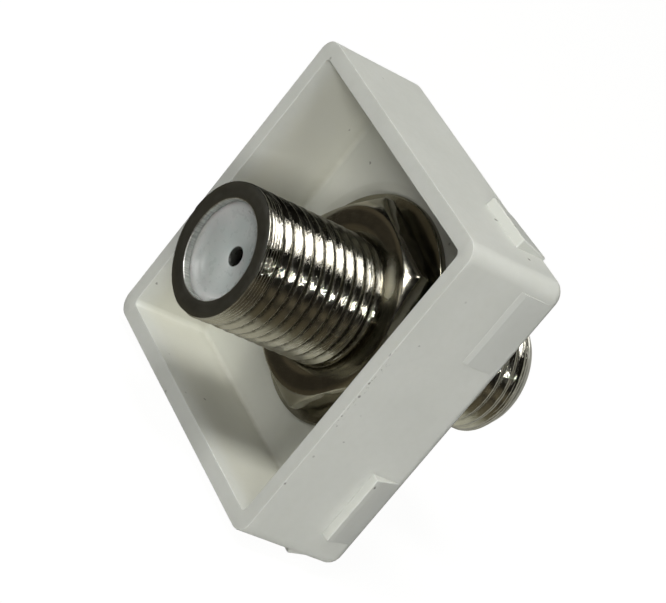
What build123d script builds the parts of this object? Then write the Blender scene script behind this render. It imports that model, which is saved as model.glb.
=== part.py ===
from build123d import *
import math
import os

# Snap-in wall-plate module, 25 x 25 mm, that carries a satellite TV socket:
# a screw-on coaxial coupler, female at both ends, clamped through the face
# plate by a hex nut and a flat washer on its rear side.
#
# Frame, millimetres: the face plate's front surface is y = 0, the coupler's
# axis is the Y axis, +Y points to the rear (into the wall box), +Z is up.

# ---------------------------------------------------------------- housing
module_w = 25.0          # side of the square, the grid size of such modules
module_d = 8.6           # front surface to rear rim
wall_t = 1.2             # side wall at the rim
plate_t = 2.0            # face plate
corner_r = 1.2           # outer edges that run front to rear
face_r = 0.8             # edge round the front surface
inner_r = 0.45           # corners of the cavity
draft = 0.6              # degrees, mould draft of the cavity
floor_r = 0.3            # fillet where the cavity's walls meet its floor
hole_r = 4.9             # hole for the coupler

# snap nibs: a steep step that faces the rear and a ramp down to the front
nib_step_y = 3.0         # distance of the step from the front surface
nib_ramp_y = 0.6         # where the ramp meets the wall again
nib_h = 0.65             # height of the full nibs
low_nib_h = 0.22         # height of the low second nibs on the two sides

# ---------------------------------------------------------------- coupler
thread_r = 4.7625        # 3/8 in thread, crest radius
engaged_r = 4.5          # the same thread at its pitch line, inside the nut
rear_y = 14.6            # rear end face
front_y = -11.05         # front end face
rear_chamfer = 0.15
front_chamfer_y = -10.2  # where the long front lead-in starts
front_tip_r = 4.2
flange_af = 12.7         # hex shoulder on the front of the plate, across flats
flange_t = 2.0
socket_r = 3.5           # bore at each end
core_r = 2.6             # bore in the middle
core_rear_y = 5.0
core_front_y = -1.5

# insulators, pressed into the bore from each end
rim_recess = 0.45        # rim of the dished face below the end face
eye_recess = 1.35        # bottom of the dish, at the contact hole
eye_r = 0.66             # contact hole
eye_l = 1.15             # length of the contact hole
contact_pocket_r = 1.15

# centre contact, a pin with slit spring sockets at both ends
contact_r = 1.1
contact_in_r = 0.45      # relaxed; springs open over the 1 mm centre wire
contact_bore_l = 6.1     # cylindrical length of each bore, then solid metal
contact_clear = 0.15
slit_w = 0.15
slit_l = 5.5

# ---------------------------------------------------------------- nut and washer
washer_r = 8.3
washer_t = 0.5
washer_hole_r = 4.95
nut_af = 13.5
nut_t = 2.0
nut_face_r = 6.7         # circle left on each face by the 30 degree chamfer
nut_turn = 8.0           # angle of one corner above +X, as tightened

os.makedirs("parts", exist_ok=True)

half = module_w / 2

# ================================================================ housing
with BuildPart() as housing:
    # square block, front surface at y = 0
    with BuildSketch(Plane.XZ) as outline:
        RectangleRounded(module_w, module_w, corner_r)
    extrude(amount=-module_d)
    # rounded edge round the front surface
    fillet(housing.faces().sort_by(Axis.Y)[0].edges(), face_r)
    # open-backed cavity, drafted so that it is widest at the rim
    with BuildSketch(Plane.XZ.offset(-module_d)) as mouth:
        RectangleRounded(module_w - 2 * wall_t, module_w - 2 * wall_t, inner_r)
    extrude(amount=module_d - plate_t, taper=draft, mode=Mode.SUBTRACT)
    floor = housing.faces().filter_by(Axis.Y).filter_by(
        lambda f: abs(f.center().Y - plate_t) < 0.01)
    fillet(floor.edges(), floor_r)
    # hole for the coupler
    with BuildSketch(Plane.XZ) as hole:
        Circle(hole_r)
    extrude(amount=-plate_t, mode=Mode.SUBTRACT)

    # full-height nibs on the two upright sides, near the bottom corners,
    # and low nibs near the top corners
    for side in (-1, 1):
        for z_lo, z_hi, h in ((-10.1, -4.6, nib_h), (5.1, 11.2, low_nib_h)):
            with BuildSketch(Plane.XY.offset(z_lo)) as nib:
                with BuildLine():
                    Polyline(
                        (side * (half - 0.4), nib_step_y + 0.1),
                        (side * half, nib_step_y + 0.1),
                        (side * (half + h), nib_step_y),
                        (side * (half + 0.88 * h), nib_step_y - 0.45),
                        (side * half, nib_ramp_y),
                        (side * (half - 0.4), nib_ramp_y),
                        close=True)
                make_face()
            extrude(amount=z_hi - z_lo)

    # one full-height nib on the top and one on the bottom, on the -X half;
    # the ramp runs out to the front edge and stands highest at the -X end
    for side, x_lo, x_hi in ((1, -9.1, -4.3), (-1, -11.0, -5.2)):
        for x, foot in ((x_lo, 0.2), (x_hi, 0.06)):
            with BuildSketch(Plane.YZ.offset(x)) as nib_end:
                with BuildLine():
                    Polyline(
                        (nib_step_y + 0.1, side * (half - 0.5)),
                        (nib_step_y + 0.1, side * half),
                        (nib_step_y, side * (half + nib_h + 0.05)),
                        (0.4, side * (half + foot)),
                        (0.4, side * (half - 0.5)),
                        close=True)
                make_face()
        loft()

    # the rim's arrises are just broken
    rim = housing.faces().sort_by(Axis.Y)[-1]
    chamfer(rim.edges(), 0.08)

housing.part.label = "housing"
export_step(housing.part, "parts/housing.step")

# ================================================================ coupler barrel
with BuildPart() as barrel:
    # turned body: end chamfers, threaded lengths at crest radius, and the
    # length inside plate, washer and nut at the thread's pitch radius
    with BuildSketch(Plane.XY) as turned:
        with BuildLine():
            Polyline(
                (core_r, front_y + 9.55),
                (socket_r, front_y + 9.55),
                (socket_r, front_y + 0.1),
                (socket_r + 0.1, front_y),
                (front_tip_r, front_y),
                (thread_r, front_chamfer_y),
                (thread_r, -flange_t),
                (engaged_r, -flange_t),
                (engaged_r, washer_t + plate_t + nut_t),
                (thread_r, washer_t + plate_t + nut_t),
                (thread_r, rear_y - rear_chamfer),
                (thread_r - rear_chamfer, rear_y),
                (socket_r + 0.08, rear_y),
                (socket_r, rear_y - 0.08),
                (socket_r, core_rear_y),
                (core_r, core_rear_y),
                close=True)
        make_face()
    revolve(axis=Axis.Y)
    # hex shoulder that seats on the face plate
    with BuildSketch(Plane.XZ) as shoulder:
        RegularPolygon(flange_af / math.sqrt(3), 6)
        Circle(engaged_r - 0.2, mode=Mode.SUBTRACT)
    extrude(amount=flange_t)
    # 30 degree chamfer on the shoulder's front corners
    with BuildSketch(Plane.XY) as trim:
        with BuildLine():
            r_out = flange_af / math.sqrt(3) + 0.4
            r_in = flange_af / 2 - 0.05
            Polyline(
                (r_in, -flange_t),
                (r_out, -flange_t + (r_out - r_in) * math.tan(math.radians(30))),
                (r_out, -flange_t - 0.4),
                (r_in, -flange_t - 0.4),
                close=True)
        make_face()
    revolve(axis=Axis.Y, mode=Mode.SUBTRACT)

barrel.part.label = "coupler_barrel"
export_step(barrel.part, "parts/coupler_barrel.step")

# ================================================================ insulators
def insulator_profile(end_y, inner_y, s):
    # s = +1 for the rear one, -1 for the front one; s * y grows outwards
    rim_y = end_y - s * rim_recess
    eye_y = end_y - s * eye_recess
    return [
        (contact_pocket_r, inner_y),
        (socket_r, inner_y),
        (socket_r, rim_y - s * 0.12),
        (socket_r - 0.12, rim_y),
        (socket_r - 0.42, rim_y),
        (socket_r - 0.62, rim_y - s * 0.16),
        (eye_r + 0.55, eye_y + s * 0.02),
        (eye_r + 0.12, eye_y - s * 0.02),
        (eye_r, eye_y - s * 0.16),
        (eye_r, eye_y - s * (0.16 + eye_l)),
        (contact_pocket_r, eye_y - s * (0.16 + eye_l)),
    ]

with BuildPart() as rear_insulator:
    with BuildSketch(Plane.XY) as rear_section:
        with BuildLine():
            Polyline(*insulator_profile(rear_y, core_rear_y, 1), close=True)
        make_face()
    revolve(axis=Axis.Y)
rear_insulator.part.label = "rear_insulator"
export_step(rear_insulator.part, "parts/rear_insulator.step")

with BuildPart() as front_insulator:
    with BuildSketch(Plane.XY) as front_section:
        with BuildLine():
            Polyline(*insulator_profile(front_y, core_front_y, -1), close=True)
        make_face()
    revolve(axis=Axis.Y)
front_insulator.part.label = "front_insulator"
export_step(front_insulator.part, "parts/front_insulator.step")

# ================================================================ centre contact
contact_rear_y = rear_y - eye_recess - 0.16 - eye_l - contact_clear
contact_front_y = front_y + eye_recess + 0.16 + eye_l + contact_clear
with BuildPart() as contact:
    # turned pin, bored from both ends and solid in the middle
    with BuildSketch(Plane.XY) as pin_section:
        with BuildLine():
            Polyline(
                (0, contact_rear_y - 0.3 - contact_bore_l),
                (contact_in_r, contact_rear_y - 0.3 - contact_bore_l),
                (contact_in_r, contact_rear_y - 0.3),
                (contact_in_r + 0.18, contact_rear_y),
                (contact_r - 0.1, contact_rear_y),
                (contact_r, contact_rear_y - 0.3),
                (contact_r, contact_front_y + 0.3),
                (contact_r - 0.1, contact_front_y),
                (contact_in_r + 0.18, contact_front_y),
                (contact_in_r, contact_front_y + 0.3),
                (contact_in_r, contact_front_y + 0.3 + contact_bore_l),
                (0, contact_front_y + 0.3 + contact_bore_l),
                close=True)
        make_face()
    revolve(axis=Axis.Y)
    # crossed slits that leave four spring fingers at each end
    for y0 in (contact_rear_y, contact_front_y + slit_l):
        with BuildSketch(Plane.XZ.offset(-y0)) as slits:
            Rectangle(3 * contact_r, slit_w)
            Rectangle(slit_w, 3 * contact_r)
        extrude(amount=slit_l, mode=Mode.SUBTRACT)
contact.part.label = "centre_contact"
export_step(contact.part, "parts/centre_contact.step")

# ================================================================ flat washer
with BuildPart() as washer:
    with BuildSketch(Plane.XZ.offset(-plate_t)) as ring:
        Circle(washer_r)
        Circle(washer_hole_r, mode=Mode.SUBTRACT)
    extrude(amount=-washer_t)
    outer_edges = washer.edges().filter_by(GeomType.CIRCLE).filter_by(
        lambda e: e.radius > washer_r - 0.01)
    fillet(outer_edges, 0.12)
washer.part.label = "flat_washer"
export_step(washer.part, "parts/flat_washer.step")

# ================================================================ hex nut
nut_y = plate_t + washer_t
nut_corner_r = nut_af / math.sqrt(3)
nut_drop = (nut_corner_r + 0.3 - nut_face_r) * math.tan(math.radians(30))
with BuildPart() as nut:
    with BuildSketch(Plane.XZ.offset(-nut_y)) as hexagon:
        RegularPolygon(nut_corner_r, 6, rotation=nut_turn)
    extrude(amount=-nut_t)
    # both faces turned to a circle, and the hole countersunk at both ends
    with BuildSketch(Plane.XY) as nut_section:
        with BuildLine():
            Polyline(
                (engaged_r, nut_y + 0.35),
                (engaged_r + 0.35, nut_y),
                (nut_face_r, nut_y),
                (nut_corner_r + 0.3, nut_y + nut_drop),
                (nut_corner_r + 0.3, nut_y + nut_t - nut_drop),
                (nut_face_r, nut_y + nut_t),
                (engaged_r + 0.35, nut_y + nut_t),
                (engaged_r, nut_y + nut_t - 0.35),
                close=True)
        make_face()
    revolve(axis=Axis.Y, mode=Mode.INTERSECT)
nut.part.label = "hex_nut"
export_step(nut.part, "parts/hex_nut.step")
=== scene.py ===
import math
import bpy
import bmesh
from mathutils import Matrix, Vector, noise


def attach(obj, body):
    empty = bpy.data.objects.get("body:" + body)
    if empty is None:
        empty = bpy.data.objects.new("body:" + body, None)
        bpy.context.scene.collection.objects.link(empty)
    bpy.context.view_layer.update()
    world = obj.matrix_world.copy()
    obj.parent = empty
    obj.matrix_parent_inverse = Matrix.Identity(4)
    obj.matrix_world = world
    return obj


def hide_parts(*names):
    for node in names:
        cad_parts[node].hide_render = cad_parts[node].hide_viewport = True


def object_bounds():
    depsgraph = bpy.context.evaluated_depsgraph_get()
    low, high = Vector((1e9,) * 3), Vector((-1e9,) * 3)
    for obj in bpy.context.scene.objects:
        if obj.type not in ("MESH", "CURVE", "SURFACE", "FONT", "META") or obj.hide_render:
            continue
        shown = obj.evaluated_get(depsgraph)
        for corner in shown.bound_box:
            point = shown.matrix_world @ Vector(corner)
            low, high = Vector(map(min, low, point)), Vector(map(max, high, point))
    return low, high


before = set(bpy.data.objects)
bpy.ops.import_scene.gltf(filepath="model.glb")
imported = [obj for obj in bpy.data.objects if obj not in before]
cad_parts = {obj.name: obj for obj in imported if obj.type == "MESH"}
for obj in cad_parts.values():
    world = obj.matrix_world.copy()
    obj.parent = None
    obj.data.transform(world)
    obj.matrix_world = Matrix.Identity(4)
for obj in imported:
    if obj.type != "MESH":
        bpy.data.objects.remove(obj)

cad_lo, cad_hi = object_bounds()

MM = 0.001
PITCH = 0.935            # crest to crest
THREAD_R = 4.7625
DEPTH = 0.285
REAR_Y = 14.6
FRONT_Y = -11.05
NUT_Y = 4.5              # rear face of the nut


# ---------------------------------------------------------------- mesh helpers
def smooth01(x):
    x = min(1.0, max(0.0, x))
    return x * x * (3 - 2 * x)


def n3(a, b, c):
    """Smooth noise, -1 to 1, the same on every run."""
    return noise.noise(Vector((a, b, c)))


def new_object(name, bm, body="root", mat=None, smooth=True, weighted=True):
    bmesh.ops.remove_doubles(bm, verts=bm.verts, dist=2e-8)
    bmesh.ops.recalc_face_normals(bm, faces=bm.faces)
    me = bpy.data.meshes.new(name)
    bm.to_mesh(me)
    bm.free()
    if smooth:
        me.shade_smooth()
    ob = bpy.data.objects.new(name, me)
    bpy.context.scene.collection.objects.link(ob)
    if mat is not None:
        me.materials.append(mat)
    if weighted:
        w = ob.modifiers.new("weights", "WEIGHTED_NORMAL")
        w.weight = 70
        w.keep_sharp = True
    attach(ob, body)
    return ob


def add_rings(bm, rings, close_around=True, close_along=False):
    """Quads between rings of points in millimetres."""
    rows = [[bm.verts.new(Vector(p) * MM) for p in ring] for ring in rings]
    pairs = list(zip(rows, rows[1:]))
    if close_along:
        pairs.append((rows[-1], rows[0]))
    for a, b in pairs:
        m = len(a)
        for i in range(m if close_around else m - 1):
            j = (i + 1) % m
            bm.faces.new((a[i], a[j], b[j], b[i]))
    return rows


def arc(cx, cy, r, a0, a1, n):
    return [
        (cx + r * math.cos(math.radians(a0 + (a1 - a0) * k / n)),
         cy + r * math.sin(math.radians(a0 + (a1 - a0) * k / n)))
        for k in range(n + 1)
    ]


def rounded_path(points, closed=True, n=4):
    """points are (r, y, corner radius); corners become short arcs."""
    out = []
    m = len(points)
    for i, (x, y, rad) in enumerate(points):
        if rad <= 0 or (not closed and i in (0, m - 1)):
            out.append((x, y))
            continue
        p = Vector((x, y))
        a = Vector(points[i - 1][:2]) - p
        b = Vector(points[(i + 1) % m][:2]) - p
        half = a.angle(b) / 2
        cut = rad / math.tan(half)
        cut = min(cut, 0.45 * a.length, 0.45 * b.length)
        r = cut * math.tan(half)
        s, e = p + a.normalized() * cut, p + b.normalized() * cut
        c = p + (a.normalized() + b.normalized()).normalized() * (r / math.sin(half))
        for k in range(n + 1):
            t = k / n
            v = (s - c).lerp(e - c, t)
            if v.length > 1e-9:
                v = v.normalized() * r
            out.append(tuple(c + v))
    return out


def lathe_rings(profile, columns, wobble=None):
    rings = []
    for r, y in profile:
        ring = []
        for i in range(columns):
            a = 2 * math.pi * i / columns
            rr = r + (wobble(a, r, y) if wobble else 0)
            ring.append((rr * math.cos(a), y, rr * math.sin(a)))
        rings.append(ring)
    return rings


# ---------------------------------------------------------------- node helpers
class Nodes:
    """Small wrapper for building a material's node tree."""

    def __init__(self, name):
        self.mat = bpy.data.materials.new(name)
        self.mat.use_nodes = True
        self.t = self.mat.node_tree
        for n in list(self.t.nodes):
            self.t.nodes.remove(n)
        self.out = self.new("ShaderNodeOutputMaterial")
        self.bsdf = self.new("ShaderNodeBsdfPrincipled")
        self.link(self.bsdf.outputs[0], self.out.inputs["Surface"])
        self.coord = self.new("ShaderNodeTexCoord").outputs["Object"]

    def new(self, kind, **props):
        n = self.t.nodes.new(kind)
        for k, v in props.items():
            setattr(n, k, v)
        return n

    def link(self, a, b):
        self.t.links.new(a, b)

    def put(self, socket, value):
        if isinstance(value, bpy.types.NodeSocket):
            self.link(value, socket)
        else:
            socket.default_value = value

    def math(self, op, a, b=0.0, c=None, clamp=False):
        n = self.new("ShaderNodeMath", operation=op, use_clamp=clamp)
        self.put(n.inputs[0], a)
        self.put(n.inputs[1], b)
        if c is not None:
            self.put(n.inputs[2], c)
        return n.outputs[0]

    def vec(self, op, a, b=(0, 0, 0), scale=None):
        n = self.new("ShaderNodeVectorMath", operation=op)
        self.put(n.inputs[0], a)
        if op not in ("LENGTH", "NORMALIZE", "SCALE"):
            self.put(n.inputs[1], b)
        if scale is not None:
            self.put(n.inputs["Scale"], scale)
        return n.outputs["Value"] if op in ("LENGTH", "DISTANCE", "DOT_PRODUCT") else n.outputs[0]

    def split(self, v):
        n = self.new("ShaderNodeSeparateXYZ")
        self.put(n.inputs[0], v)
        return n.outputs[0], n.outputs[1], n.outputs[2]

    def join(self, x, y, z):
        n = self.new("ShaderNodeCombineXYZ")
        self.put(n.inputs[0], x)
        self.put(n.inputs[1], y)
        self.put(n.inputs[2], z)
        return n.outputs[0]

    def scaled(self, v, s):
        n = self.new("ShaderNodeMapping", vector_type="POINT")
        self.put(n.inputs[0], v)
        n.inputs["Scale"].default_value = s if isinstance(s, tuple) else (s, s, s)
        return n.outputs[0]

    def noise(self, v, scale, detail=3.0, rough=0.5, distort=0.0):
        n = self.new("ShaderNodeTexNoise")
        self.put(n.inputs["Vector"], v)
        n.inputs["Scale"].default_value = scale
        n.inputs["Detail"].default_value = detail
        n.inputs["Roughness"].default_value = rough
        n.inputs["Distortion"].default_value = distort
        return n.outputs["Fac"]

    def voronoi(self, v, scale, feature="F1"):
        n = self.new("ShaderNodeTexVoronoi", feature=feature)
        self.put(n.inputs["Vector"], v)
        n.inputs["Scale"].default_value = scale
        return n.outputs["Distance"]

    def remap(self, v, a, b, c=0.0, d=1.0, smooth=False):
        n = self.new("ShaderNodeMapRange", interpolation_type="SMOOTHSTEP" if smooth else "LINEAR")
        n.clamp = True
        self.put(n.inputs[0], v)
        for k, x in zip((1, 2, 3, 4), (a, b, c, d)):
            self.put(n.inputs[k], x)
        return n.outputs[0]

    def mix(self, fac, a, b):
        n = self.new("ShaderNodeMix", data_type="RGBA")
        self.put(n.inputs[0], fac)
        for s, x in ((n.inputs[6], a), (n.inputs[7], b)):
            self.put(s, x if isinstance(x, bpy.types.NodeSocket) or len(x) == 4 else (*x, 1.0))
        return n.outputs[2]

    def bump(self, height, strength, distance, normal=None):
        n = self.new("ShaderNodeBump")
        n.inputs["Strength"].default_value = strength
        n.inputs["Distance"].default_value = distance
        self.put(n.inputs["Height"], height)
        if normal is not None:
            self.link(normal, n.inputs["Normal"])
        return n.outputs[0]


def set_in(bsdf, **values):
    for k, v in values.items():
        bsdf.inputs[k.replace("_", " ")].default_value = v


# ---------------------------------------------------------------- materials
def plastic():
    m = Nodes("housing_plastic_look")
    c = m.scaled(m.coord, 1000.0)                    # millimetres
    cloud = m.noise(c, 0.22, 3, 0.55)
    mottled = m.noise(c, 1.7, 4, 0.6)
    base = m.mix(m.remap(cloud, 0.3, 0.7), (0.640, 0.652, 0.605), (0.680, 0.690, 0.645))
    base = m.mix(m.remap(mottled, 0.42, 0.75, 0.0, 0.22), base, (0.585, 0.595, 0.54))

    # painted shade inside the cavity: the inner walls are darkened and warmed below the rim, and darker still in the
    # creases where the walls meet the floor
    x, y, z = m.split(c)
    ax, az = m.math("ABSOLUTE", x), m.math("ABSOLUTE", z)
    reach = m.math("MAXIMUM", ax, az)
    inside = m.math("MULTIPLY", m.remap(reach, 11.26, 11.36, 1, 0), m.remap(y, 1.9, 2.1, 0, 1))
    near_floor = m.remap(y, 2.0, 3.2, 1, 0, smooth=True)
    near_wall = m.remap(reach, 10.4, 11.25, 0, 1, smooth=True)
    # painted shade: the inner walls below the rim get a darker, warmer colour
    painted_interior_shade = m.math("MULTIPLY", inside, m.remap(y, 8.5, 6.5, 0, 1, smooth=True))
    base = m.mix(m.math("MULTIPLY", painted_interior_shade, m.remap(cloud, 0.3, 0.7, 0.75, 1.0)), base, (0.600, 0.598, 0.520))
    # painted shade in the creases where the inner walls meet the floor
    painted_crease_shade_mask = m.math("MULTIPLY", inside, m.math("MULTIPLY", near_floor, near_wall))
    painted_crease_shade = m.math("MULTIPLY", painted_crease_shade_mask, m.remap(m.noise(c, 0.9, 4, 0.6), 0.3, 0.7, 0.05, 0.22))
    base = m.mix(painted_crease_shade, base, (0.22, 0.215, 0.165))

    # painted shadow of the washer on the floor beside it: a soft darker band with a darker edge
    painted_shadow_centre_distance = m.vec("DISTANCE", m.join(x, 0.0, z), (1.1, 0.0, 0.2))
    on_floor = m.math("MULTIPLY", inside, m.remap(y, 2.06, 2.02, 0, 1))
    painted_shadow_sector = m.remap(m.math("ADD", m.math("MULTIPLY", x, 0.55), z), 5.5, 8.0, 0, 1, smooth=True)
    # painted shadow: the main body of the washer's shadow
    body = m.math("MULTIPLY", m.remap(painted_shadow_centre_distance, 8.42, 8.12, 0, 0.30, smooth=True), painted_shadow_sector)
    painted_shadow_edge = m.math("MULTIPLY", m.remap(m.math("ABSOLUTE", m.math("SUBTRACT", painted_shadow_centre_distance, 8.28)), 0.30, 0.02, 0, 0.28, smooth=True), painted_shadow_sector)
    base = m.mix(m.math("MULTIPLY", on_floor, m.math("MAXIMUM", body, painted_shadow_edge)), base, (0.30, 0.285, 0.215))

    # fine dust and lint
    dust = m.voronoi(m.scaled(m.coord, (1000.0, 1000.0, 1000.0)), 0.55)
    keep = m.remap(m.noise(c, 0.37, 1, 0.5), 0.56, 0.60)
    dust = m.math("MULTIPLY", m.remap(dust, 0.035, 0.075, 1, 0), keep)
    base = m.mix(m.math("MULTIPLY", dust, 0.45), base, (0.16, 0.155, 0.13))

    # single specks of dirt: place in millimetres, size, strength
    specks = [
        (-12.5, 8.48, -7.6, 0.10, 0.7), (-12.5, 8.30, -2.45, 0.07, 0.55), (-12.5, 8.44, -1.6, 0.07, 0.55),
        (-12.5, 8.40, 0.1, 0.09, 0.6), (-12.5, 8.46, 1.2, 0.08, 0.6), (-12.5, 8.40, 2.4, 0.06, 0.5),
        (-13.1, 2.79, -5.2, 0.13, 0.75), (-12.5, 6.9, -3.3, 0.07, 0.45), (-12.5, 7.2, 4.9, 0.08, 0.5),
        (10.99, 8.6, -10.9, 0.14, 0.75), (11.25, 8.13, -9.2, 0.10, 0.6), (8.72, 2.0, 6.8, 0.11, 0.55),
        (11.25, 3.23, 7.36, 0.09, 0.5), (1.5, 6.28, -11.25, 0.10, 0.6), (5.9, 7.6, -11.25, 0.09, 0.45),
        (-6.2, 3.30, 12.5, 0.16, 0.75), (-7.5, 2.83, 13.1, 0.13, 0.7), (-6.1, 0.75, 12.5, 0.11, 0.65),
        (-8.25, 0.82, 12.6, 0.11, 0.65), (-10.1, 2.53, 12.5, 0.12, 0.7), (9.2, 5.4, 12.5, 0.08, 0.45),
        (12.5, 4.1, 3.2, 0.11, 0.6), (12.5, 6.6, -7.4, 0.09, 0.5), (6.0, 0.0, 8.4, 0.11, 0.55),
        (-9.3, 0.0, -4.1, 0.10, 0.5), (3.3, 5.2, -12.5, 0.12, 0.6),
    ]
    wob = m.new("ShaderNodeTexNoise")
    m.put(wob.inputs["Vector"], c)
    wob.inputs["Scale"].default_value = 4.0
    wob.inputs["Detail"].default_value = 2.0
    shift = m.vec("SCALE", m.vec("SUBTRACT", wob.outputs["Color"], (0.5, 0.5, 0.5)), scale=0.28)
    shaken = m.vec("ADD", c, shift)
    dirt = 0.0
    for px, py, pz, size, strong in specks:
        d = m.vec("DISTANCE", shaken, (px, py, pz))
        s = m.remap(d, size * 0.55, size * 1.25, strong, 0.0, smooth=True)
        dirt = s if dirt == 0.0 else m.math("MAXIMUM", dirt, s)
    base = m.mix(dirt, base, (0.085, 0.08, 0.062))

    # scuffs and rubbed dirt along the outer arris of the rim on the -X side
    run = m.math("MULTIPLY", m.remap(z, -3.2, -1.8, 0, 1, smooth=True), m.remap(z, 3.0, 5.2, 1, 0, smooth=True))
    near_edge = m.math("MULTIPLY", m.remap(x, -12.25, -12.42, 0, 1), m.remap(y, 7.95, 8.5, 0, 1, smooth=True))
    ragged = m.remap(m.noise(m.scaled(c, (1.0, 2.6, 1.1)), 2.4, 4, 0.7), 0.57, 0.70)
    scuff = m.math("MULTIPLY", m.math("MULTIPLY", run, near_edge), ragged)
    base = m.mix(m.math("MULTIPLY", scuff, 0.7), base, (0.11, 0.105, 0.085))
    m.link(base, m.bsdf.inputs["Base Color"])

    rough = m.remap(m.noise(c, 1.2, 4, 0.6), 0.3, 0.7, 0.50, 0.60)
    rough = m.math("ADD", rough, m.math("MULTIPLY", dirt, 0.3), clamp=True)
    m.link(rough, m.bsdf.inputs["Roughness"])
    set_in(m.bsdf, Subsurface_Weight=0.10, Subsurface_Scale=0.0012, IOR=1.5, Specular_IOR_Level=0.28)
    m.bsdf.inputs["Subsurface Radius"].default_value = (1.0, 0.95, 0.8)

    grain = m.noise(c, 14.0, 3, 0.6)
    waves = m.noise(c, 0.35, 2, 0.5)
    lines = m.noise(m.scaled(c, (0.6, 9.0, 0.6)), 1.0, 3, 0.6)
    b = m.bump(waves, 0.35, 0.00012)
    b = m.bump(lines, 0.10, 0.00002, b)
    b = m.bump(grain, 0.18, 0.00001, b)
    b = m.bump(m.math("MAXIMUM", dirt, m.math("MULTIPLY", scuff, 0.3)), 0.3, 0.00002, b)
    m.link(b, m.bsdf.inputs["Normal"])
    return m.mat


def metal_common(m, tint, dark, grime_scale):
    c = m.scaled(m.coord, 1000.0)
    tarnish = m.noise(c, grime_scale, 4, 0.6)
    base = m.mix(m.remap(tarnish, 0.35, 0.75), tint, dark)
    return c, base


def around(m, c, per_turn, per_mm, across=0.0):
    """A vector that changes slowly round the Y axis and fast along it."""
    x, y, z = m.split(c)
    r = m.math("SQRT", m.math("ADD", m.math("MULTIPLY", x, x), m.math("MULTIPLY", z, z)))
    r = m.math("MAXIMUM", r, 0.001)
    return m.join(
        m.math("MULTIPLY", m.math("DIVIDE", x, r), per_turn),
        m.math("ADD", m.math("MULTIPLY", y, per_mm), m.math("MULTIPLY", r, across)),
        m.math("MULTIPLY", m.math("DIVIDE", z, r), per_turn),
    )


def thread_metal():
    m = Nodes("threaded_plating_look")
    c, base = metal_common(m, (0.50, 0.48, 0.42), (0.39, 0.37, 0.30), 0.9)
    x, y, z = m.split(c)
    r = m.math("SQRT", m.math("ADD", m.math("MULTIPLY", x, x), m.math("MULTIPLY", z, z)))
    # painted shade: the thread roots are darkened, in patches
    low = m.remap(r, THREAD_R - 0.29, THREAD_R - 0.17, 1, 0, smooth=True)
    outside = m.remap(r, 4.28, 4.34, 0, 1)
    patchy = m.remap(m.noise(c, 3.0, 4, 0.6), 0.3, 0.7, 0.35, 0.95)
    root = m.math("MULTIPLY", m.math("MULTIPLY", low, outside), patchy)
    base = m.mix(root, base, (0.10, 0.09, 0.065))
    # painted light: the front thread is made a little paler, standing in for its brighter reflection, and the band at
    # its end is matt
    base = m.mix(m.remap(y, -1.5, -2.2, 0, 0.34), base, (0.80, 0.79, 0.70))
    matt = m.remap(y, -9.95, -10.20, 0, 1)
    base = m.mix(m.math("MULTIPLY", matt, 0.45), base, (0.80, 0.80, 0.75))
    # painted dark reflection: the topmost stretch is darkened
    turn = m.math("DIVIDE", x, m.math("MAXIMUM", r, 0.001))
    painted_dark_top = m.math("MULTIPLY", m.remap(turn, -0.10, 0.04, 0, 1, smooth=True), m.remap(turn, 0.80, 0.45, 0, 1, smooth=True))
    painted_dark_top = m.math("MULTIPLY", painted_dark_top, m.remap(z, 1.0, 2.5, 0, 1))
    base = m.mix(m.math("MULTIPLY", painted_dark_top, 0.72), base, (0.105, 0.10, 0.085))
    m.link(base, m.bsdf.inputs["Base Color"])
    set_in(m.bsdf, Metallic=1.0)
    ro = m.remap(m.noise(c, 5.0, 3, 0.6), 0.3, 0.7, 0.06, 0.13)
    ro = m.math("ADD", ro, m.math("MULTIPLY", root, 0.25))
    ro = m.math("ADD", ro, m.math("MULTIPLY", matt, 0.28))
    m.link(ro, m.bsdf.inputs["Roughness"])
    streak = m.noise(around(m, c, 4.0, 5.5), 1.0, 3, 0.6)
    fine = m.noise(around(m, c, 10.0, 26.0), 1.0, 2, 0.6)
    chips = m.noise(around(m, c, 30.0, 9.0), 1.0, 3, 0.65)
    ends = m.math("MAXIMUM", m.remap(y, 13.0, 13.35, 0, 1), m.remap(y, -9.9, -10.2, 0, 1))
    turned = m.noise(around(m, c, 2.0, 13.0), 1.0, 3, 0.7)
    b = m.bump(m.math("MULTIPLY", turned, ends), 0.5, 0.00003)
    b = m.bump(streak, 0.8, 0.000040, b)
    upper = m.remap(m.math("DIVIDE", z, m.math("MAXIMUM", r, 0.001)), 0.50, 0.68, 0, 1, smooth=True)
    scored = m.noise(around(m, c, 5.0, 9.0), 1.0, 3, 0.7)
    b = m.bump(m.math("MULTIPLY", scored, upper), 0.7, 0.000032, b)
    b = m.bump(fine, 0.5, 0.000009, b)
    b = m.bump(chips, 0.2, 0.000009, b)
    m.link(b, m.bsdf.inputs["Normal"])
    return m.mat


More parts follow.
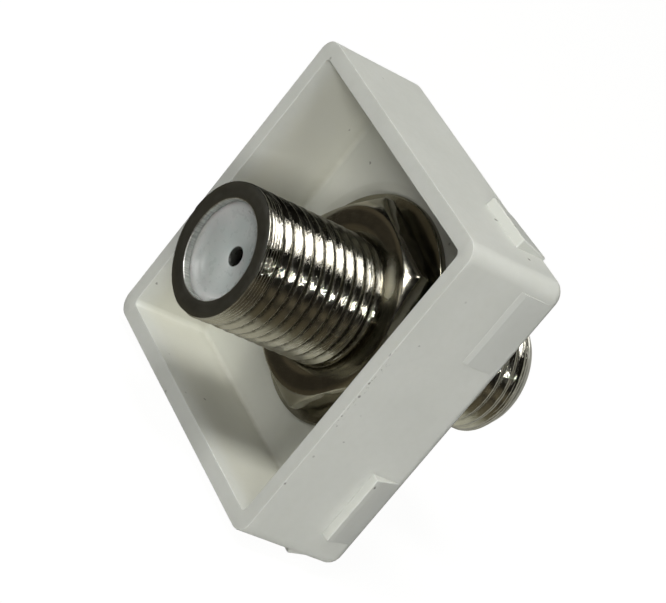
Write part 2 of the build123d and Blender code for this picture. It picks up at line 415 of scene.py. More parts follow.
def end_metal():
    """Turned end faces and the bore: duller, with concentric tool marks."""
    m = Nodes("turned_end_look")
    c, base = metal_common(m, (0.232, 0.238, 0.226), (0.186, 0.192, 0.184), 0.8)
    x, y, z = m.split(c)
    r = m.math("SQRT", m.math("ADD", m.math("MULTIPLY", x, x), m.math("MULTIPLY", z, z)))
    # painted brighter reflection: the bore wall is made paler, with ribbed streaks
    ribbed = m.remap(m.noise(around(m, c, 26.0, 0.5), 1.0, 2, 0.6), 0.35, 0.65, 0.45, 0.95)
    base = m.mix(m.math("MULTIPLY", m.remap(r, 3.54, 3.60, 1, 0), ribbed), base, (0.74, 0.74, 0.70))
    m.link(base, m.bsdf.inputs["Base Color"])
    set_in(m.bsdf, Metallic=1.0)
    ro = m.remap(m.noise(c, 2.5, 4, 0.6), 0.3, 0.7, 0.30, 0.40)
    m.link(ro, m.bsdf.inputs["Roughness"])
    rings = m.noise(around(m, c, 3.0, 7.0, 16.0), 1.0, 3, 0.6)
    nicks = m.noise(around(m, c, 40.0, 3.0, 3.0), 1.0, 2, 0.7)
    b = m.bump(rings, 0.30, 0.000012)
    b = m.bump(nicks, 0.30, 0.000012, b)
    m.link(b, m.bsdf.inputs["Normal"])
    return m.mat


def nut_metal():
    m = Nodes("nut_plating_look")
    c, base = metal_common(m, (0.50, 0.475, 0.40), (0.40, 0.375, 0.30), 0.5)
    x, y, z = m.split(c)
    # painted dark reflection: the topmost flat is darkened
    painted_dark_top = m.math("MULTIPLY", m.remap(z, 5.9, 6.3, 0, 1, smooth=True), m.remap(y, 4.42, 4.30, 0, 1))
    painted_dark_top = m.math("MULTIPLY", painted_dark_top, m.remap(y, 2.2, 2.45, 0, 1))
    base = m.mix(m.math("MULTIPLY", painted_dark_top, 0.45), base, (0.10, 0.095, 0.075))
    # painted dark reflection: the flat rear face is made a little darker than the chamfers
    base = m.mix(m.math("MULTIPLY", m.remap(y, 4.42, 4.48, 0, 1), 0.55), base, (0.22, 0.21, 0.18))
    # painted pale reflection: a pale spot on the rear face beside the thread, also made rougher
    r = m.math("MAXIMUM", m.math("SQRT", m.math("ADD", m.math("MULTIPLY", x, x), m.math("MULTIPLY", z, z))), 0.001)
    way = m.vec("DISTANCE", m.join(m.math("DIVIDE", x, r), 0.0, m.math("DIVIDE", z, r)), (-0.60, 0.0, 0.80))
    band = m.remap(m.math("ABSOLUTE", m.math("SUBTRACT", r, 5.62)), 0.85, 0.05, 0, 1, smooth=True)
    dull_and_painted_sheen = m.math("MULTIPLY", m.math("MULTIPLY", band, m.remap(way, 0.46, 0.04, 0, 1, smooth=True)), m.remap(y, 4.3, 4.4, 0, 1))
    base = m.mix(dull_and_painted_sheen, base, (0.96, 0.94, 0.82))
    m.link(base, m.bsdf.inputs["Base Color"])
    set_in(m.bsdf, Metallic=1.0)
    ro = m.remap(m.noise(c, 1.6, 4, 0.6), 0.3, 0.7, 0.10, 0.20)
    ro = m.math("ADD", ro, m.math("MULTIPLY", dull_and_painted_sheen, 0.28))
    m.link(ro, m.bsdf.inputs["Roughness"])
    marks = m.noise(around(m, c, 3.0, 5.0, 11.0), 1.0, 3, 0.6)
    waves = m.noise(c, 0.8, 2, 0.5)
    nicks = m.noise(c, 9.0, 3, 0.7)
    b = m.bump(waves, 0.20, 0.00005)
    b = m.bump(marks, 0.22, 0.000010, b)
    b = m.bump(nicks, 0.12, 0.000010, b)
    m.link(b, m.bsdf.inputs["Normal"])
    return m.mat


def washer_metal():
    m = Nodes("washer_plating_look")
    c, base = metal_common(m, (0.255, 0.240, 0.190), (0.20, 0.188, 0.145), 0.45)
    m.link(base, m.bsdf.inputs["Base Color"])
    set_in(m.bsdf, Metallic=1.0)
    ro = m.remap(m.noise(c, 1.1, 4, 0.6), 0.3, 0.7, 0.11, 0.24)
    m.link(ro, m.bsdf.inputs["Roughness"])
    waves = m.noise(c, 0.55, 2, 0.5)
    scratch = m.noise(m.scaled(c, (1.0, 1.0, 14.0)), 1.4, 2, 0.6)
    b = m.bump(waves, 0.35, 0.00006)
    b = m.bump(scratch, 0.10, 0.000010, b)
    m.link(b, m.bsdf.inputs["Normal"])
    return m.mat


def milky():
    m = Nodes("insulator_look")
    c = m.scaled(m.coord, 1000.0)
    cloud = m.noise(c, 0.7, 3, 0.5)
    base = m.mix(m.remap(cloud, 0.3, 0.7), (0.51, 0.55, 0.535), (0.555, 0.59, 0.575))
    d = m.voronoi(c, 1.1)
    keep = m.remap(m.noise(c, 0.8, 1, 0.5), 0.55, 0.6)
    base = m.mix(m.math("MULTIPLY", m.math("MULTIPLY", m.remap(d, 0.04, 0.10, 1, 0), keep), 0.5), base, (0.2, 0.2, 0.17))
    x, y, z = m.split(c)
    r = m.math("SQRT", m.math("ADD", m.math("MULTIPLY", x, x), m.math("MULTIPLY", z, z)))
    # painted shade: the side of the dish towards +X and -Z is made darker
    clear = m.remap(m.math("SUBTRACT", x, z), 0.8, 4.2, 0, 1, smooth=True)
    base = m.mix(clear, base, (0.36, 0.385, 0.37))
    # painted shade: the contact hole below the dish is painted near black
    deep = m.math("MULTIPLY", m.remap(r, 0.68, 0.74, 1, 0), m.math("MAXIMUM", m.remap(y, 12.84, 12.74, 0, 1), m.remap(y, -9.29, -9.19, 0, 1)))
    base = m.mix(deep, base, (0.02, 0.02, 0.017))
    m.link(base, m.bsdf.inputs["Base Color"])
    ro = m.remap(m.noise(c, 2.0, 3, 0.6), 0.3, 0.7, 0.24, 0.36)
    m.link(ro, m.bsdf.inputs["Roughness"])
    set_in(m.bsdf, Subsurface_Weight=1.0, Subsurface_Scale=0.0026, IOR=1.51, Specular_IOR_Level=0.42)
    m.bsdf.inputs["Subsurface Radius"].default_value = (0.85, 1.0, 1.0)
    b = m.bump(m.noise(c, 1.1, 2, 0.5), 0.3, 0.00006)
    b = m.bump(m.noise(c, 9.0, 3, 0.6), 0.12, 0.00001, b)
    m.link(b, m.bsdf.inputs["Normal"])
    return m.mat


def contact_metal():
    m = Nodes("contact_look")
    c, base = metal_common(m, (0.42, 0.34, 0.19), (0.20, 0.17, 0.11), 1.8)
    m.link(base, m.bsdf.inputs["Base Color"])
    set_in(m.bsdf, Metallic=1.0)
    ro = m.remap(m.noise(c, 3.0, 3, 0.6), 0.3, 0.7, 0.3, 0.5)
    m.link(ro, m.bsdf.inputs["Roughness"])
    b = m.bump(m.noise(around(m, c, 3.0, 8.0), 1.0, 3, 0.6), 0.3, 0.00001)
    m.link(b, m.bsdf.inputs["Normal"])
    return m.mat


MAT = {
    "plastic": plastic(),
    "thread": thread_metal(),
    "end": end_metal(),
    "nut": nut_metal(),
    "washer": washer_metal(),
    "milky": milky(),
    "contact": contact_metal(),
}


# ---------------------------------------------------------------- housing
HALF, CORNER, FACE_R = 12.5, 1.2, 0.8
RIM_Y, FLOOR_Y = 8.6, 2.0
N_SIDE, N_CORNER = 22, 8


def square_ring(hw, r, y, lift=None):
    """A rounded square in the plane y, counter-clockwise from the +X side seen from -Y."""
    r = max(r, 0.02)
    pts = []
    for q in range(4):
        ca, sa = math.cos(math.pi / 2 * q), math.sin(math.pi / 2 * q)
        side = []
        for k in range(N_SIDE):
            side.append((hw, -(hw - r) + 2 * (hw - r) * k / (N_SIDE - 1)))
        for k in range(1, N_CORNER):
            a = math.pi / 2 * k / N_CORNER
            side.append((hw - r + r * math.cos(a), hw - r + r * math.sin(a)))
        for px, pz in side:
            pts.append((px * ca - pz * sa, y, px * sa + pz * ca))
    return pts


def circle_ring(radius, y):
    """The same number of points on a circle, in step with square_ring."""
    return [
        (radius * p[0] / math.hypot(p[0], p[2]), y, radius * p[2] / math.hypot(p[0], p[2]))
        for p in square_ring(10.0, 0.4, y)
    ]


def blend_ring(radius, hw, r, y, t):
    return [
        tuple(a + (b - a) * t for a, b in zip(p, q))
        for p, q in zip(circle_ring(radius, y), square_ring(hw, r, y))
    ]


def housing_shell():
    rings = []
    # front face, outwards from the hole
    rings += [circle_ring(4.9, 0.12), circle_ring(4.94, 0.04), circle_ring(5.02, 0.0)]
    for t in (0.2, 0.45, 0.7):
        rings.append(blend_ring(5.02, 11.0, 0.3, 0.0, t))
    rings.append(square_ring(11.0, 0.3, 0.0))
    # rounded edge round the front
    for k in range(0, 9):
        a = math.pi / 2 * k / 8
        hw = HALF - FACE_R + FACE_R * math.sin(a)
        rings.append(square_ring(hw, CORNER - (HALF - hw), FACE_R - FACE_R * math.cos(a)))
    # outer walls
    for y in (1.6, 2.6, 3.6, 4.8, 6.0, 7.2, 8.1):
        rings.append(square_ring(HALF, CORNER, y))
    # rim, both arrises broken
    er = 0.035
    for x, y in arc(HALF - er, RIM_Y - er, er, 0, 90, 4):
        rings.append(square_ring(x, CORNER - (HALF - x), y))
    inner = 11.3
    ei = 0.05
    for x, y in arc(inner + ei, RIM_Y - ei, ei, 90, 180, 4):
        rings.append(square_ring(x, 0.45 + (x - inner), y))
    # drafted inner walls
    slope = math.tan(math.radians(0.6))
    for y in (7.9, 7.0, 6.0, 5.0, 4.0, 3.2, 2.7):
        rings.append(square_ring(inner - (RIM_Y - y) * slope, 0.45, y))
    # fillet into the floor
    fr = 0.3
    hw_low = inner - (RIM_Y - FLOOR_Y - fr) * slope
    for x, y in arc(hw_low - fr, FLOOR_Y + fr, fr, 0, -90, 4):
        rings.append(square_ring(x, max(0.45 - (hw_low - x), 0.1), y))
    # floor to the hole
    rings.append(square_ring(10.2, 0.1, FLOOR_Y))
    for t in (0.7, 0.45, 0.2):
        rings.append(blend_ring(5.0, 10.2, 0.1, FLOOR_Y, t))
    rings += [circle_ring(5.0, FLOOR_Y), circle_ring(4.92, FLOOR_Y - 0.04), circle_ring(4.9, FLOOR_Y - 0.12)]
    rings += [circle_ring(4.9, 1.0)]
    # the moulding's walls are a little bowed and its arrises not quite straight
    out = []
    for ring in rings:
        new = []
        for x, y, z in ring:
            reach = max(abs(x), abs(z))
            grow = smooth01((reach - 9.5) / 2.0) * smooth01((y - 0.4) / 6.0)
            side = 1 if abs(x) >= abs(z) else 0
            along = z if side else x
            bow = 0.05 * n3(along * 0.11 + 3.0 * side, 0.2 * y, 1.7 if (x if side else z) > 0 else -2.3)
            bow *= smooth01((12.4 - abs(along)) / 3.0) * grow
            if side:
                x += math.copysign(1, x) * (bow - 0.03 * grow)
            else:
                z += math.copysign(1, z) * (bow - 0.03 * grow)
            new.append((x, y, z))
        out.append(new)
    bm = bmesh.new()
    add_rings(bm, out, close_along=True)
    return bm


def add_prism(bm, lo_end, hi_end, bevel=0.07):
    """A closed prism between two end polygons with the same number of points, its arrises rounded."""
    part = bmesh.new()
    a = [part.verts.new(Vector(p) * MM) for p in lo_end]
    b = [part.verts.new(Vector(p) * MM) for p in hi_end]
    n = len(a)
    part.faces.new(list(reversed(a)))
    part.faces.new(b)
    for i in range(n):
        j = (i + 1) % n
        part.faces.new((a[i], a[j], b[j], b[i]))
    bmesh.ops.recalc_face_normals(part, faces=part.faces)
    bmesh.ops.bevel(part, geom=list(part.edges), offset=bevel * MM, segments=3, profile=0.5, affect="EDGES", clamp_overlap=True)
    me = bpy.data.meshes.new("tmp_prism")
    part.to_mesh(me)
    part.free()
    bm.from_mesh(me)
    bpy.data.meshes.remove(me)


bm = housing_shell()
STEP_Y = 3.0
for side in (-1, 1):
    for z_lo, z_hi, h in ((-10.1, -4.6, 0.65), (5.1, 11.2, 0.10)):
        ends = []
        for z, tall in ((z_lo, h if h > 0.4 else 0.5 * h), (z_hi, h)):
            ends.append([
                (side * (HALF - 0.5), STEP_Y + (0.12 if h > 0.4 else 0.47), z),
                (side * (HALF + 0.0), STEP_Y + (0.10 if h > 0.4 else 0.45), z),
                (side * (HALF + tall), STEP_Y, z),
                (side * (HALF + 0.88 * tall), STEP_Y - 0.45, z),
                (side * (HALF + 0.0), 0.55, z),
                (side * (HALF - 0.5), 0.75, z),
            ])
        add_prism(bm, ends[0], ends[1], 0.07 if h > 0.4 else 0.03)
for side, x_lo, x_hi in ((1, -9.1, -4.3), (-1, -11.0, -5.2)):
    ends = []
    for x, foot in ((x_lo, 0.16), (x_hi, 0.0)):
        ends.append([
            (x, STEP_Y + 0.12, side * (HALF - 0.5)),
            (x, STEP_Y + 0.10, side * (HALF + 0.0)),
            (x, STEP_Y, side * (HALF + 0.69)),
            (x, 0.42, side * (HALF + foot)),
            (x, 0.55, side * (HALF - 0.5)),
        ])
    add_prism(bm, ends[0], ends[1], 0.11)
housing = new_object("housing_shell", bm, mat=MAT["plastic"])
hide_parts("housing")


# ---------------------------------------------------------------- threaded barrel
COLS = 150


def vee(turn, k):
    """A rounded triangle wave: 0 at whole turns, 1 half way between them."""
    return 0.5 - 0.5 * math.asin(k * math.cos(2 * math.pi * turn)) / math.asin(k)


def thread_radius(y, a, phase, end_y, plain=1.0, blend=0.7):
    """Radius of a right-hand vee thread with rounded crests and roots, and a band of fine ridges at the end."""
    crest = vee(y / PITCH + a / (2 * math.pi) + phase, 0.975)
    worn = 0.007 * n3(8 * math.cos(a), 2.3 * y, 8 * math.sin(a)) + 0.003 * n3(22 * math.cos(a), 6.0 * y, 22 * math.sin(a))
    worn += 0.012 * n3(3.0 * math.cos(a), 5.5 * y, 3.0 * math.sin(a))
    near = abs(end_y - y)
    deep = smooth01((near - plain) / blend)
    # close to the end the groove runs out into a few fine turned ridges
    edge = 1.0 - smooth01((near - plain - 0.15) / 0.45)
    ridge = 1.0 - vee(y / 0.235 + 0.6 * a / (2 * math.pi) + 0.5 * n3(1.3 * math.cos(a), 0.8 * y, 1.3 * math.sin(a)), 0.965)
    ridge *= 1.0 + 0.5 * n3(2.5 * math.cos(a), 1.7 * y, 2.5 * math.sin(a))
    taper = 0.004 * smooth01((1.45 - near) / 1.45)
    return THREAD_R - 0.010 - DEPTH * (1.0 - crest) * deep - edge * (0.075 * ridge + taper) + worn


def add_thread(bm, y_lo, y_hi, radius, n):
    """Helical rows of quads between two planes, closed round the barrel."""
    turns = (y_hi - y_lo) / PITCH
    k_max = int(math.ceil((turns + 1) * n)) + 1
    grid = []
    for i in range(COLS):
        a = 2 * math.pi * i / COLS
        col = []
        for k in range(k_max + 1):
            y = y_lo + PITCH * (k / n - a / (2 * math.pi))
            y = min(max(y, y_lo), y_hi)
            r = radius(y, a)
            col.append(bm.verts.new(Vector((r * math.cos(a), y, r * math.sin(a))) * MM))
        grid.append(col)

    def quad(p):
        same = []
        for v in p:
            if all((v.co - w.co).length > 1e-9 for w in same):
                same.append(v)
        if len(same) >= 3:
            bm.faces.new(same)

    for i in range(COLS):
        j = (i + 1) % COLS
        shift = n if j == 0 else 0
        for k in range(shift, k_max):
            quad([grid[i][k], grid[j][k - shift], grid[j][k + 1 - shift], grid[i][k + 1]])
    for v in [v for v in bm.verts if not v.link_faces]:
        bm.verts.remove(v)


def col_ring(radius, y):
    return [
        (radius(i) * math.cos(2 * math.pi * i / COLS), y, radius(i) * math.sin(2 * math.pi * i / COLS))
        for i in range(COLS)
    ]


PHASE = 0.622
rear_r = lambda y, a: thread_radius(y, a, PHASE, REAR_Y)
front_r = lambda y, a: thread_radius(y, a, PHASE, FRONT_Y, 1.0, 0.9)
ANG = [2 * math.pi * i / COLS for i in range(COLS)]

bm = bmesh.new()
Y1 = 14.44
add_thread(bm, NUT_Y - 0.3, Y1, rear_r, 44)


def bore_r(i, amount=1.0):
    a = ANG[i]
    return 3.5 + amount * (0.022 * n3(7 * math.cos(a), 3.0, 7 * math.sin(a)) + 0.022 * n3(22 * math.cos(a), 5.0, 22 * math.sin(a)))


def lip_r(i):
    a = ANG[i]
    return 4.738 + 0.014 * n3(8 * math.cos(a), 9.0, 8 * math.sin(a)) + 0.012 * n3(24 * math.cos(a), 2.0, 24 * math.sin(a))


rear_rings = [
    col_ring(lambda i: rear_r(Y1, ANG[i]), Y1),
    col_ring(lambda i: min(rear_r(Y1, ANG[i]), lip_r(i) + 0.020), REAR_Y - 0.05),
    col_ring(lambda i: min(rear_r(Y1, ANG[i]), lip_r(i) + 0.006), REAR_Y - 0.012),
    col_ring(lambda i: min(rear_r(Y1, ANG[i]), lip_r(i)) - 0.02, REAR_Y),
    col_ring(lambda i: 4.2, REAR_Y),
    col_ring(lambda i: 3.85, REAR_Y),
    col_ring(lambda i: bore_r(i) + 0.05, REAR_Y),
    col_ring(lambda i: bore_r(i) + 0.014, REAR_Y - 0.014),
    col_ring(lambda i: bore_r(i), REAR_Y - 0.06),
    col_ring(lambda i: bore_r(i, 0.7), REAR_Y - 0.3),
    col_ring(lambda i: bore_r(i, 0.3), REAR_Y - 0.7),
    col_ring(lambda i: 3.5, REAR_Y - 1.3),
    col_ring(lambda i: 3.5, 5.0),
    col_ring(lambda i: 2.6, 5.0),
    col_ring(lambda i: 2.6, -1.5),
    col_ring(lambda i: 3.5, -1.5),
    col_ring(lambda i: 3.5, FRONT_Y + 0.7),
    col_ring(lambda i: bore_r(i, 0.6), FRONT_Y + 0.1),
    col_ring(lambda i: bore_r(i) + 0.03, FRONT_Y + 0.02),
    col_ring(lambda i: bore_r(i) + 0.07, FRONT_Y),
    col_ring(lambda i: 3.9, FRONT_Y),
    col_ring(lambda i: 4.12, FRONT_Y),
    col_ring(lambda i: 4.19, FRONT_Y + 0.03),
    col_ring(lambda i: 4.23, FRONT_Y + 0.09),
]
Y2 = -10.32
rear_rings += [
    col_ring(lambda i: 4.40, FRONT_Y + 0.32),
    col_ring(lambda i: min(4.60, front_r(Y2, ANG[i]) + 0.02), Y2 - 0.12),
    col_ring(lambda i: front_r(Y2, ANG[i]), Y2),
]
thread_face_count = len(bm.faces)
add_rings(bm, rear_rings)
add_thread(bm, Y2, -1.7, front_r, 12)
# inside the plate the barrel is plain
add_rings(bm, [
    col_ring(lambda i: front_r(-1.7, ANG[i]), -1.7),
    col_ring(lambda i: 4.45, -1.5),
    col_ring(lambda i: 4.45, NUT_Y - 0.6),
    col_ring(lambda i: rear_r(NUT_Y - 0.3, ANG[i]), NUT_Y - 0.3),
])
bmesh.ops.remove_doubles(bm, verts=bm.verts, dist=2e-8)
bm.faces.ensure_lookup_table()
for f in bm.faces:
    c = f.calc_center_median() / MM
    r = math.hypot(c.x, c.z)
    flat_end = (c.y > REAR_Y - 0.02 and r < 4.62) or (c.y < FRONT_Y + 0.02 and r < 4.15)
    f.material_index = 1 if (flat_end or r < 3.9) else 0
barrel = new_object("barrel_threaded", bm, mat=MAT["thread"], weighted=False)
barrel.data.materials.append(MAT["end"])
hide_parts("coupler_barrel")


# ---------------------------------------------------------------- hexagons
def hex_radius(a, across, turn, corner=0.22):
    """Distance to a hexagon with slightly rounded corners."""
    d = (math.degrees(a) - turn) % 60.0
    d = math.radians(d - 30.0)
    flat = across / 2 / math.cos(d)
    limit = across / math.sqrt(3) - corner * 0.16
    w = 0.05
    # soft minimum of the flats and a circle just inside the corners
    h = min(1.0, max(0.0, 0.5 + 0.5 * (limit - flat) / w))
    return flat * h + limit * (1 - h) - w * h * (1 - h)


def hex_columns(turn):
    """Angles packed closely at the corners, so that they stay crisp."""
    out = []
    for q in range(6):
        for k in range(36):
            t = k / 36
            u = t - math.sin(2 * math.pi * t) / (2 * math.pi) * 0.55
            out.append(math.radians(turn + 60 * (q + u)))
    return out


def hex_piece(name, across, turn, y0, y1, face_r, hole_r, countersink, mat, both=True):
    """A hexagon turned to a circle at its faces, with a hole. y1 is the end that carries the deeper chamfer."""
    cols = hex_columns(turn)
    tan30 = math.tan(math.radians(30))
    s = 1 if y1 > y0 else -1

    def ring(radius, height):
        return [(radius(a) * math.cos(a), height(a), radius(a) * math.sin(a)) for a in cols]

    R = lambda a: hex_radius(a, across, turn)
    drop = lambda a: max((R(a) - face_r) * tan30, 0.0)
    e = 0.05
    rings = [
        ring(lambda a: hole_r, lambda a: y0 + s * countersink),
        ring(lambda a: hole_r + countersink, lambda a: y0 + s * 0.0),
        ring(lambda a: face_r - 0.4, lambda a: y0),
    ]
    if both:
        rings += [
            ring(lambda a: face_r - e, lambda a: y0),
            ring(lambda a: face_r + e, lambda a: y0 + s * e * tan30),
            ring(lambda a: max(R(a) - e * 0.9, face_r + e), lambda a: y0 + s * max(drop(a) - e * 0.4, e * tan30)),
            ring(lambda a: R(a), lambda a: y0 + s * (drop(a) + e)),
        ]
    else:
        rings += [
            ring(lambda a: R(a) - e, lambda a: y0),
            ring(lambda a: R(a), lambda a: y0 + s * e),
        ]
    for t in (0.35, 0.65):
        rings.append(ring(lambda a: R(a), lambda a, t=t: (y0 + s * (drop(a) + e)) * (1 - t) + (y1 - s * (drop(a) + e)) * t))
    rings += [
        ring(lambda a: R(a), lambda a: y1 - s * (drop(a) + e)),
        ring(lambda a: max(R(a) - e * 0.9, face_r + e), lambda a: y1 - s * max(drop(a) - e * 0.4, e * tan30)),
        ring(lambda a: face_r + e, lambda a: y1 - s * e * tan30),
        ring(lambda a: face_r - e, lambda a: y1 - s * 0.004),
        ring(lambda a: face_r - 0.4, lambda a: y1),
        ring(lambda a: (face_r + hole_r) / 2, lambda a: y1),
        ring(lambda a: hole_r + countersink + 0.04, lambda a: y1),
        ring(lambda a: hole_r + countersink - 0.04, lambda a: y1 - s * 0.05),
        ring(lambda a: hole_r, lambda a: y1 - s * countersink),
    ]
    bm = bmesh.new()
    add_rings(bm, rings, close_along=True)
    return new_object(name, bm, mat=mat)


nut = hex_piece("nut_hex", 13.5, 8.0, 2.5, NUT_Y, 6.7, 4.56, 0.30, MAT["nut"])
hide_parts("hex_nut")
flange = hex_piece("barrel_flange", 12.7, 0.0, 0.0, -2.0, 6.3, 4.3, 0.05, MAT["nut"], both=False)
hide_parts("coupler_barrel")

# ---------------------------------------------------------------- washer
bm = bmesh.new()
prof = rounded_path([(4.95, 2.0, 0.04), (8.3, 2.0, 0.10), (8.3, 2.5, 0.16), (4.95, 2.5, 0.06)], True, 5)
full = []
for (r, y), (r2, y2) in zip(prof, prof[1:] + prof[:1]):
    full.append((r, y))
    if abs(r2 - r) > 1.0:
        full += [(r + (r2 - r) * t, y + (y2 - y) * t) for t in (0.25, 0.5, 0.75)]
add_rings(bm, lathe_rings(full, 160), close_along=True)
washer = new_object("washer_plate", bm, mat=MAT["washer"])
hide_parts("flat_washer")


# ---------------------------------------------------------------- insulators
def insulator(name, node, end_y, inner_y, s):
    rim = end_y - s * 0.45
    prof = [
        (1.15, inner_y), (3.0, inner_y), (3.49, inner_y + s * 0.1), (3.495, rim - s * 1.2),
        (3.495, rim - s * 0.10), (3.485, rim - s * 0.02), (3.46, rim + s * 0.01), (3.38, rim + s * 0.005),
        (3.26, rim - s * 0.03), (3.16, rim - s * 0.10), (3.08, rim - s * 0.22), (3.00, rim - s * 0.36),
        (2.88, rim - s * 0.49), (2.70, rim - s * 0.60), (2.42, rim - s * 0.69), (2.05, rim - s * 0.77),
        (1.60, rim - s * 0.84), (1.20, rim - s * 0.88), (0.98, rim - s * 0.90), (0.84, rim - s * 0.92),
        (0.72, rim - s * 0.95), (0.65, rim - s * 1.00), (0.60, rim - s * 1.06), (0.575, rim - s * 1.15),
        (0.60, rim - s * 1.5),
        (0.66, end_y - s * 2.66), (1.15, end_y - s * 2.66),
    ]
    bm = bmesh.new()
    add_rings(bm, lathe_rings(prof, 128), close_along=True)
    ob = new_object(name, bm, mat=MAT["milky"])
    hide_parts(node)
    return ob


insulator("insulator_dish_rear", "rear_insulator", REAR_Y, 5.0, 1)
insulator("insulator_dish_front", "front_insulator", FRONT_Y, -1.5, -1)

# the contact keeps its own shape
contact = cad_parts["centre_contact"]
contact.data.materials.clear()
contact.data.materials.append(MAT["contact"])

# ---------------------------------------------------------------- floor
bm = bmesh.new()
add_rings(bm, [[(-3000, -3000, 0), (3000, -3000, 0)], [(-3000, 3000, 0), (3000, 3000, 0)]], close_around=False)
me = bpy.data.meshes.new("floor")
bm.to_mesh(me)
bm.free()
floor = bpy.data.objects.new("floor", me)
bpy.context.scene.collection.objects.link(floor)
floor.location = (0, 0, cad_lo.z - 0.00005)
fm = Nodes("floor_look")
fm.t.nodes.remove(fm.bsdf)
diff = fm.new("ShaderNodeBsdfDiffuse")
emis = fm.new("ShaderNodeEmission")
mixs = fm.new("ShaderNodeMixShader")
speckle = fm.noise(fm.scaled(fm.coord, 1000.0), 0.02, 2, 0.5)
fm.link(fm.mix(fm.remap(speckle, 0.3, 0.7), (0.88, 0.88, 0.87), (0.91, 0.91, 0.90)), diff.inputs[0])
emis.inputs[0].default_value = (1.0, 1.0, 0.995, 1.0)
emis.inputs[1].default_value = 1.04
mixs.inputs[0].default_value = 0.93
fm.link(diff.outputs[0], mixs.inputs[1])
fm.link(emis.outputs[0], mixs.inputs[2])
fm.link(mixs.outputs[0], fm.out.inputs["Surface"])
me.materials.append(fm.mat)
floor.visible_glossy = False
floor.visible_diffuse = False

# ---------------------------------------------------------------- camera
rot = (
    (-0.3621467, -0.7111428, 0.6025991),
    (-0.5980111, -0.3186407, -0.7354256),
    (0.7150052, -0.6266929, -0.3098766),
)
right, up, back = Vector(rot[0]), -Vector(rot[1]), -Vector(rot[2])
cam_data = bpy.data.cameras.new("camera")
cam = bpy.data.objects.new("camera", cam_data)
bpy.context.scene.collection.objects.link(cam)
m4 = Matrix((right, up, back)).transposed().to_4x4()
m4.translation = Vector((-0.133142, 0.120908, 0.057608))
cam.matrix_world = m4
cam_data.sensor_fit = "HORIZONTAL"
cam_data.sensor_width = 36.0
cam_data.lens = 2775.974 * 36.0 / 666.0
cam_data.clip_start, cam_data.clip_end = 0.01, 20.0
bpy.context.scene.camera = cam


# ---------------------------------------------------------------- lights
def softbox(name, direction, distance, width, height, power, colour=(1, 1, 1), roll=0.0, glossy=True):
    d = Vector(direction).normalized()
    data = bpy.data.lights.new(name, "AREA")
    data.shape = "ELLIPSE" if glossy else "RECTANGLE"
    data.size, data.size_y = width, height
    data.energy = power
    data.color = colour
    ob = bpy.data.objects.new(name, data)
    bpy.context.scene.collection.objects.link(ob)
    ob.location = d * distance
    q = d.to_track_quat("Z", "Y")
    ob.rotation_mode = "QUATERNION"
    ob.rotation_quaternion = q @ Matrix.Rotation(roll, 4, "Z").to_quaternion()
    ob.visible_glossy = glossy
    return ob


LIGHTS = [
    # name, direction from the part, distance, width, height, watts, colour, seen in shiny metal, lights matt surfaces
    ("key", (-0.84, 0.50, 0.22), 0.55, 0.12, 0.12, 1.18, (1.0, 1.0, 0.985), False, True),
    ("key_high", (-0.52, 0.73, 0.44), 0.55, 0.16, 0.14, 0.50, (1.0, 1.0, 0.985), False, True),
    ("overhead", (-0.10, 0.34, 0.93), 0.55, 0.17, 0.12, 1.48, (1.0, 1.0, 0.98), False, True),
    ("overhead_back", (0.0, 0.74, 0.67), 0.55, 0.12, 0.10, 0.5, (1.0, 1.0, 0.98), False, True),
    ("fill_side", (-0.80, 0.02, -0.60), 0.60, 0.40, 0.40, 2.7, (1.0, 1.0, 0.98), False, True),
    ("fill_low", (-0.21, 0.57, -0.79), 0.60, 0.18, 0.18, 0.5, (1.0, 0.995, 0.95), False, True),
    ("window", (-0.07, 0.33, 0.94), 0.55, 0.31, 0.58, 2.5, (1.0, 0.995, 0.98), True, False),
    ("lamp", (-0.772, 0.502, 0.385), 0.50, 0.018, 0.018, 0.20, (1.0, 0.99, 0.96), True, False),
    ("back_panel", (0.18, 0.91, 0.37), 0.60, 0.11, 0.15, 1.1, (1.0, 1.0, 0.98), True, False),
]
for name, way, far, wide, high, watts, colour, shiny, matt in LIGHTS:
    lamp = softbox(name, way, far, wide, high, watts, colour, glossy=shiny)
    lamp.visible_diffuse = matt

world = bpy.data.worlds.new("surroundings")
bpy.context.scene.world = world
world.use_nodes = True
wt = world.node_tree
for n in list(wt.nodes):
    wt.nodes.remove(n)
wo = wt.nodes.new("ShaderNodeOutputWorld")
path = wt.nodes.new("ShaderNodeLightPath")
soft = wt.nodes.new("ShaderNodeBackground")
soft.inputs[0].default_value = (1.0, 0.995, 0.975, 1.0)
soft.inputs[1].default_value = 0.08
dark = wt.nodes.new("ShaderNodeBackground")
dark.inputs[1].default_value = 1.0
where = wt.nodes.new("ShaderNodeTexCoord")
apart = wt.nodes.new("ShaderNodeSeparateXYZ")
ramp = wt.nodes.new("ShaderNodeMapRange")
tone = wt.nodes.new("ShaderNodeValToRGB")
wt.links.new(where.outputs["Generated"], apart.inputs[0])
wt.links.new(apart.outputs["Z"], ramp.inputs[0])
for k, v in zip((1, 2, 3, 4), (-1.0, 0.1, 0.0, 1.0)):
    ramp.inputs[k].default_value = v
wt.links.new(ramp.outputs[0], tone.inputs[0])
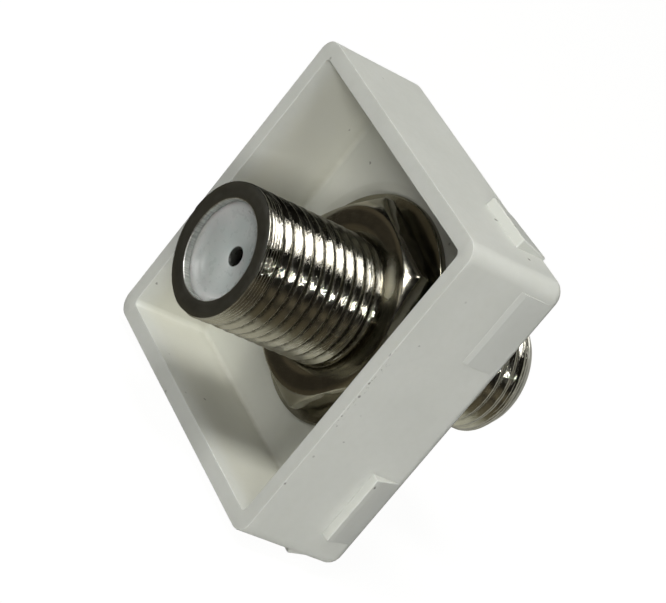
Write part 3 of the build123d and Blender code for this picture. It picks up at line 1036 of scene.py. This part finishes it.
# height of the direction, colour: pale below, brown to the sides, dark above
TONES = [
    (-1.00, (0.58, 0.58, 0.50)), (-0.93, (0.48, 0.48, 0.41)), (-0.86, (0.30, 0.295, 0.24)),
    (-0.76, (0.150, 0.136, 0.096)), (-0.57, (0.113, 0.098, 0.066)), (-0.42, (0.108, 0.094, 0.065)),
    (-0.36, (0.050, 0.044, 0.033)), (-0.27, (0.048, 0.043, 0.032)), (-0.20, (0.145, 0.126, 0.088)),
    (-0.08, (0.120, 0.105, 0.074)), (0.02, (0.048, 0.042, 0.031)), (0.09, (0.007, 0.0066, 0.005)),
]
stops = tone.color_ramp.elements
stops[1].position = (TONES[-1][0] + 1.0) / 1.1
stops[1].color = (*TONES[-1][1], 1.0)
stops[0].color = (*TONES[0][1], 1.0)
for height, colour in TONES[1:-1]:
    stops.new((height + 1.0) / 1.1).color = (*colour, 1.0)
# the half in front of the part is a plain mid grey
front = wt.nodes.new("ShaderNodeMapRange")
wt.links.new(apart.outputs["Y"], front.inputs[0])
for k, v in zip((1, 2, 3, 4), (-0.35, -0.52, 0.0, 1.0)):
    front.inputs[k].default_value = v
halves = wt.nodes.new("ShaderNodeMix")
halves.data_type = "RGBA"
wt.links.new(front.outputs[0], halves.inputs[0])
wt.links.new(tone.outputs[0], halves.inputs[6])
halves.inputs[7].default_value = (0.40, 0.40, 0.37, 1.0)
wt.links.new(halves.outputs[2], dark.inputs[0])
pale = wt.nodes.new("ShaderNodeBackground")
pale.inputs[0].default_value = (0.93, 0.93, 0.93, 1.0)
m1 = wt.nodes.new("ShaderNodeMixShader")
m2 = wt.nodes.new("ShaderNodeMixShader")
wt.links.new(path.outputs["Is Glossy Ray"], m1.inputs[0])
wt.links.new(soft.outputs[0], m1.inputs[1])
wt.links.new(dark.outputs[0], m1.inputs[2])
wt.links.new(path.outputs["Is Camera Ray"], m2.inputs[0])
wt.links.new(m1.outputs[0], m2.inputs[1])
wt.links.new(pale.outputs[0], m2.inputs[2])
wt.links.new(m2.outputs[0], wo.inputs["Surface"])

bpy.context.scene.view_settings.view_transform = "Standard"
bpy.context.scene.view_settings.look = "None"
